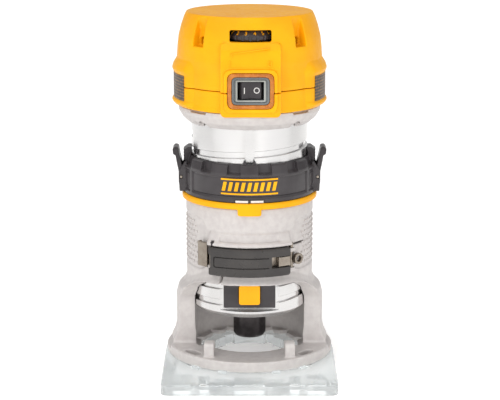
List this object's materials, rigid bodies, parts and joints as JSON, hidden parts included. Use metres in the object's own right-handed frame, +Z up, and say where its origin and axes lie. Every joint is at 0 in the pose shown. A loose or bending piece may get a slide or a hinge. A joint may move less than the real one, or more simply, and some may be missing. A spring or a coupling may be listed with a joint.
{
  "type": "compact fixed-base router",
  "caption": "Compact router: motor held in a cast fixed base by a band clamp, set for depth by a threaded ring, with a clear sub-base and a collet.",
  "frame": {"origin": "under the middle of the bounding box, on the plane of the sub-base's sole", "axes": "+Z up along the spindle axis, -Y to the front with the switch and the clamp lever, +X to the right seen from the front; the spindle axis is at X 0, Y +10.5 mm"},
  "size_m": [0.102, 0.123, 0.2128],
  "materials": {
    "cast_aluminium": "die-cast, fine satin skin",
    "machined_aluminium": "turned bright",
    "yellow_plastic": "moulded, fine grain",
    "dark_plastic": "moulded, fine grain",
    "grey_plastic": "moulded, smooth",
    "steel": "rolled, slightly brown",
    "black_steel": "black oxide",
    "clear_plastic": "clear polycarbonate",
    "amber_boot": "translucent sealing boot",
    "label": "printed label without text",
    "copper": "enamelled copper and brass",
    "lamination": "stacked electrical steel",
    "carbon": "pressed carbon",
    "board": "potted electronics"
  },
  "bodies": {
    "base": {"base_casting": "cast_aluminium", "sub_base": "clear_plastic", "sub_base_screw_1": "steel", "sub_base_screw_2": "steel", "sub_base_screw_3": "steel", "sub_base_screw_4": "steel", "guide_pin": "steel", "clamp_strap": "steel", "clamp_pivot_pin": "steel"},
    "lever": {"clamp_lever": "grey_plastic"},
    "adjusting_screw": {"clamp_adjusting_screw": "black_steel"},
    "scale": {"scale_ring": "yellow_plastic"},
    "depth_ring": {"adjustment_ring": "dark_plastic", "tab_pin_left": "steel", "tab_pin_right": "steel", "tab_spring_left": "steel", "tab_spring_right": "steel"},
    "left_tab": {"release_tab_left": "dark_plastic"},
    "right_tab": {"release_tab_right": "dark_plastic"},
    "motor": {"motor_housing": "machined_aluminium", "stator_core": "lamination", "field_winding_lower": "copper", "field_winding_upper": "copper", "lower_bearing": "steel", "upper_bearing": "steel", "bearing_bridge": "dark_plastic", "brush_holder_left": "copper", "brush_holder_right": "copper", "carbon_brush_left": "carbon", "carbon_brush_right": "carbon", "brush_spring_left": "steel", "brush_spring_right": "steel", "rating_label_left": "label", "rating_label_right": "label", "lamp_lens_1": "clear_plastic", "lamp_lens_2": "clear_plastic", "spindle_lock_plate": "dark_plastic", "housing_cover": "yellow_plastic", "housing_collar": "yellow_plastic", "switch_boot": "amber_boot", "switch_bezel": "grey_plastic", "switch_body": "dark_plastic", "control_module": "board", "cord_gland": "dark_plastic", "cover_screw_1": "steel", "cover_screw_2": "steel", "cover_screw_3": "steel", "cover_screw_4": "steel"},
    "lock_button": {"spindle_lock_button": "yellow_plastic"},
    "rocker": {"switch_rocker": "dark_plastic"},
    "dial": {"speed_dial": "dark_plastic"},
    "rotor": {"spindle": "steel", "armature_core": "lamination", "commutator": "copper", "fan": "dark_plastic"},
    "collet_sleeve": {"collet": "steel"},
    "nut": {"collet_nut": "black_steel"}
  },
  "joints": [
    {"name": "lever_open", "type": "hinge", "parent": "base", "child": "lever", "pos_m": [-0.02121, -0.02412, 0.0713], "axis": [0, 0, 1], "range_deg": [-105, 0]},
    {"name": "adjusting_screw_turn", "type": "hinge", "parent": "base", "child": "adjusting_screw", "pos_m": [0.02677, -0.01923, 0.0704], "axis": [0.6691, -0.7431, 0], "continuous": true},
    {"name": "scale_turn", "type": "hinge", "parent": "base", "child": "scale", "pos_m": [0, 0.0105, 0.103], "axis": [0, 0, 1], "continuous": true},
    {"name": "ring_turn", "type": "hinge", "parent": "base", "child": "depth_ring", "pos_m": [0, 0.0105, 0.115], "axis": [0, 0, 1], "range_deg": [-735, 482]},
    {"name": "left_tab_squeeze", "type": "hinge", "parent": "depth_ring", "child": "left_tab", "pos_m": [-0.0405, 0.0105, 0.1145], "axis": [0, 1, 0], "range_deg": [0, 7], "stiffness_Nm_per_rad": 0.1, "springref_deg": -11.46},
    {"name": "right_tab_squeeze", "type": "hinge", "parent": "depth_ring", "child": "right_tab", "pos_m": [0.0405, 0.0105, 0.1145], "axis": [0, 1, 0], "range_deg": [-7, 0], "stiffness_Nm_per_rad": 0.1, "springref_deg": 11.46},
    {"name": "depth_slide", "type": "slide", "parent": "base", "child": "motor", "axis": [0, 0, 1], "range_m": [-0.0131, 0.02]},
    {"name": "lock_press", "type": "slide", "parent": "motor", "child": "lock_button", "axis": [0, 1, 0], "range_m": [0, 0.004], "stiffness_N_per_m": 300, "springref_m": -0.004},
    {"name": "switch_rock", "type": "hinge", "parent": "motor", "child": "rocker", "pos_m": [0.0007, -0.0275, 0.1713], "axis": [0, 0, 1], "range_deg": [0, 20]},
    {"name": "speed_turn", "type": "hinge", "parent": "motor", "child": "dial", "pos_m": [0.0005, -0.017, 0.2015], "axis": [0, 0, 1], "range_deg": [0, 300]},
    {"name": "spindle_spin", "type": "hinge", "parent": "motor", "child": "rotor", "pos_m": [0, 0.0105, 0.1], "axis": [0, 0, 1], "continuous": true},
    {"name": "collet_slide", "type": "slide", "parent": "rotor", "child": "collet_sleeve", "axis": [0, 0, 1], "range_m": [-0.0101, 0]},
    {"name": "nut_turn", "type": "hinge", "parent": "collet_sleeve", "child": "nut", "pos_m": [0, 0.0105, 0.025], "axis": [0, 0, 1], "range_deg": [-2430, 0]}
  ],
  "couplings": [
    {"joint": "ring_turn", "follows": "depth_slide", "rad_per_m": -637.89},
    {"joint": "nut_turn", "follows": "collet_slide", "rad_per_m": 4188.8}
  ]
}
